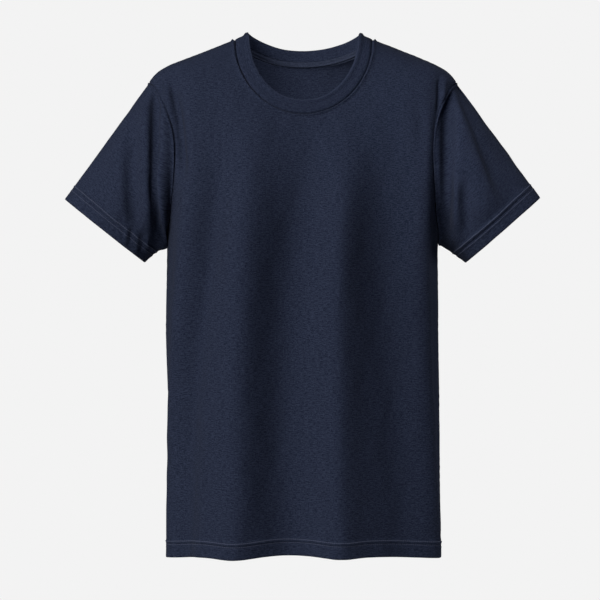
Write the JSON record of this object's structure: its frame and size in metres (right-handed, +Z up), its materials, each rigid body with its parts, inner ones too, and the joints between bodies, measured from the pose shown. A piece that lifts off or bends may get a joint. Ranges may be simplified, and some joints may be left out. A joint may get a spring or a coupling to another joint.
{
  "type": "crew neck t-shirt, worn form without a wearer",
  "caption": "Plain short-sleeved crew neck t-shirt in its hollow worn form, with a ribbed neckband, set-in sleeves, soft hanging folds and turned-up hems.",
  "frame": {"origin": "middle of the neck opening, level with the inner ends of the two shoulder seams, where shoulders carry the shirt", "axes": "+Z up, the front faces -Y, +X towards the wearer's left sleeve"},
  "size_m": [0.6635, 0.244, 0.7339],
  "materials": {
    "navy_jersey": "soft slub single jersey, matt navy",
    "navy_rib": "fine one-by-one rib, matt navy",
    "neck_tape": "narrow cotton tape, matt navy"
  },
  "bodies": {
    "root": {"front_panel": "navy_jersey", "back_panel": "navy_jersey", "sleeve_right": "navy_jersey", "sleeve_left": "navy_jersey", "neck_rib": "navy_rib", "neck_tape": "neck_tape"}
  },
  "joints": []
}
